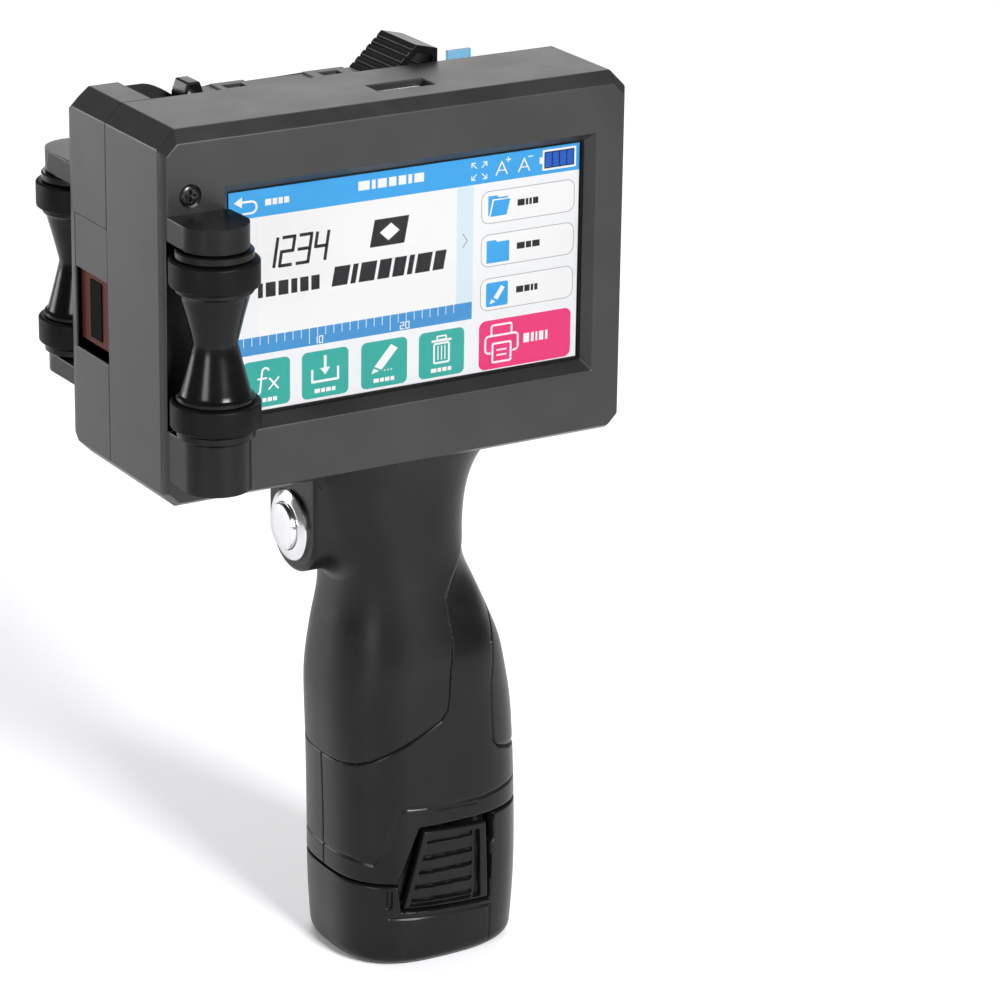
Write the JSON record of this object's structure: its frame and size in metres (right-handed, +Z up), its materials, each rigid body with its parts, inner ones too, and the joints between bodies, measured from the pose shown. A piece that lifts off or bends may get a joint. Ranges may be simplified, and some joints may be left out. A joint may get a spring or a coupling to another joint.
{
  "type": "date code inkjet printer",
  "caption": "Handheld inkjet coder with touch screen head, side guide rollers, lift-out ink cartridge, pistol grip with push-button trigger and slide-in battery.",
  "frame": {"origin": "centre of the battery's flat base, on the surface that the printer stands on", "axes": "+Z up, screen facing -Y, nozzle window and guide rollers towards -X"},
  "size_m": [0.1264, 0.0906, 0.2291],
  "materials": {
    "head_plastic": "fine textured dark grey ABS",
    "grip_plastic": "satin black",
    "soft_pad": "soft touch, satin",
    "roller_plastic": "turned, satin",
    "rubber": "matt",
    "steel": "ground",
    "button_metal": "polished stainless",
    "brass": "plain",
    "glass": "clear",
    "screen": "lit display",
    "circuit_board": "solder mask",
    "component": "moulded",
    "ribbon": "polyimide film",
    "nozzle_film": "dark red-brown film",
    "nozzle_black": "polished",
    "label_paper": "printed label",
    "clip_clear": "translucent blue",
    "foam": "ink-soaked foam",
    "cell_wrap": "shrink wrap"
  },
  "bodies": {
    "printer_body": {"front_shell": "head_plastic", "rear_shell": "head_plastic", "divider_plate": "grip_plastic", "window_insert": "head_plastic", "touch_glass": "glass", "glass_gasket": "rubber", "lcd_module": "screen", "display_ribbon": "ribbon", "mainboard": "circuit_board", "board_components": "component", "board_standoffs": "brass", "usb_socket": "steel", "contact_board": "circuit_board", "contact_pins": "brass", "lock_clip": "clip_clear", "face_screw": "steel", "shell_screws": "steel", "front_upper_arm": "grip_plastic", "front_lower_arm": "grip_plastic", "rear_upper_arm": "grip_plastic", "rear_lower_arm": "grip_plastic", "roller_bushes": "brass", "encoder_sensor": "component", "encoder_cover": "grip_plastic", "grip_front_half": "grip_plastic", "grip_rear_half": "grip_plastic", "front_grip_pad": "soft_pad", "back_strap": "soft_pad", "grip_screws": "steel", "button_bezel": "button_metal", "button_nut": "steel", "button_spring": "steel", "switch_block": "component", "battery_socket": "grip_plastic", "socket_contacts": "brass"},
    "front_roller": {"front_roller_core": "roller_plastic", "front_roller_tyres": "rubber", "front_axle": "steel", "encoder_disc": "steel"},
    "rear_roller": {"rear_roller_core": "roller_plastic", "rear_roller_tyres": "rubber", "rear_axle": "steel"},
    "trigger": {"button_cap": "button_metal"},
    "cartridge": {"cartridge_case": "grip_plastic", "cartridge_lid": "head_plastic", "cartridge_grip": "grip_plastic", "cartridge_label": "label_paper", "nozzle_flex": "nozzle_film", "nozzle_plate": "nozzle_black", "ink_foam": "foam"},
    "battery": {"battery_cup": "grip_plastic", "battery_stem": "grip_plastic", "battery_cells": "cell_wrap", "battery_terminals": "brass", "latch_springs": "steel"},
    "front_latch_body": {"front_latch": "grip_plastic"},
    "rear_latch_body": {"rear_latch": "grip_plastic"}
  },
  "joints": [
    {"name": "front_roller_spin", "type": "hinge", "parent": "printer_body", "child": "front_roller", "pos_m": [-0.0713, -0.03235, 0.1769], "axis": [0, 0, 1], "continuous": true},
    {"name": "rear_roller_spin", "type": "hinge", "parent": "printer_body", "child": "rear_roller", "pos_m": [-0.0713, 0.0373, 0.178], "axis": [0, 0, 1], "continuous": true},
    {"name": "trigger_press", "type": "slide", "parent": "printer_body", "child": "trigger", "axis": [1, 0, 0], "range_m": [0, 0.0015], "stiffness_N_per_m": 400, "springref_m": -0.002, "deforming": ["button_spring"]},
    {"name": "cartridge_lift", "type": "slide", "parent": "printer_body", "child": "cartridge", "axis": [0.287, 0, 0.9579], "range_m": [0, 0.1]},
    {"name": "battery_slide", "type": "slide", "parent": "printer_body", "child": "battery", "axis": [0, 0, -1], "range_m": [0, 0.08]},
    {"name": "front_latch_press", "type": "slide", "parent": "battery", "child": "front_latch_body", "axis": [0, 1, 0], "range_m": [0, 0.0013], "stiffness_N_per_m": 500, "springref_m": -0.001, "deforming": ["latch_springs"]},
    {"name": "rear_latch_press", "type": "slide", "parent": "battery", "child": "rear_latch_body", "axis": [0, -1, 0], "range_m": [0, 0.0013], "stiffness_N_per_m": 500, "springref_m": -0.001}
  ]
}
